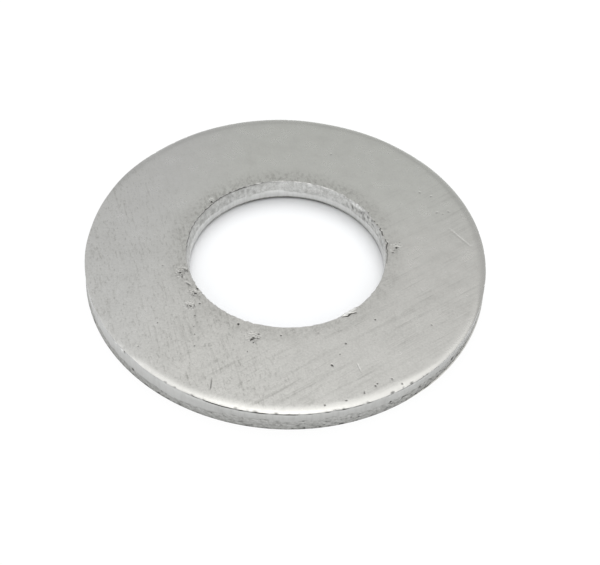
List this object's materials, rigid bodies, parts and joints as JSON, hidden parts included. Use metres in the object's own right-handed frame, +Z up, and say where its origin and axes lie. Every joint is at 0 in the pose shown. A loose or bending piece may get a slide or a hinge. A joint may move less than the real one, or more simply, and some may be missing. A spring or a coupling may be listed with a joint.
{
  "type": "flat washer",
  "caption": "Flat metal ring with a round central hole, stamped from sheet, that spreads the load of a bolt head or nut.",
  "frame": {"origin": "centre of the hole on the underside, the plane that the washer lies on", "axes": "+Z up along the hole's axis, out of the face whose outer edge is rolled over; X and Y are free, because the ring is round"},
  "size_m": [0.027, 0.027, 0.0016],
  "materials": {
    "stainless_steel": "satin, finely brushed and tumbled, with small pits"
  },
  "bodies": {
    "root": {"flat_washer": "stainless_steel"}
  },
  "joints": []
}
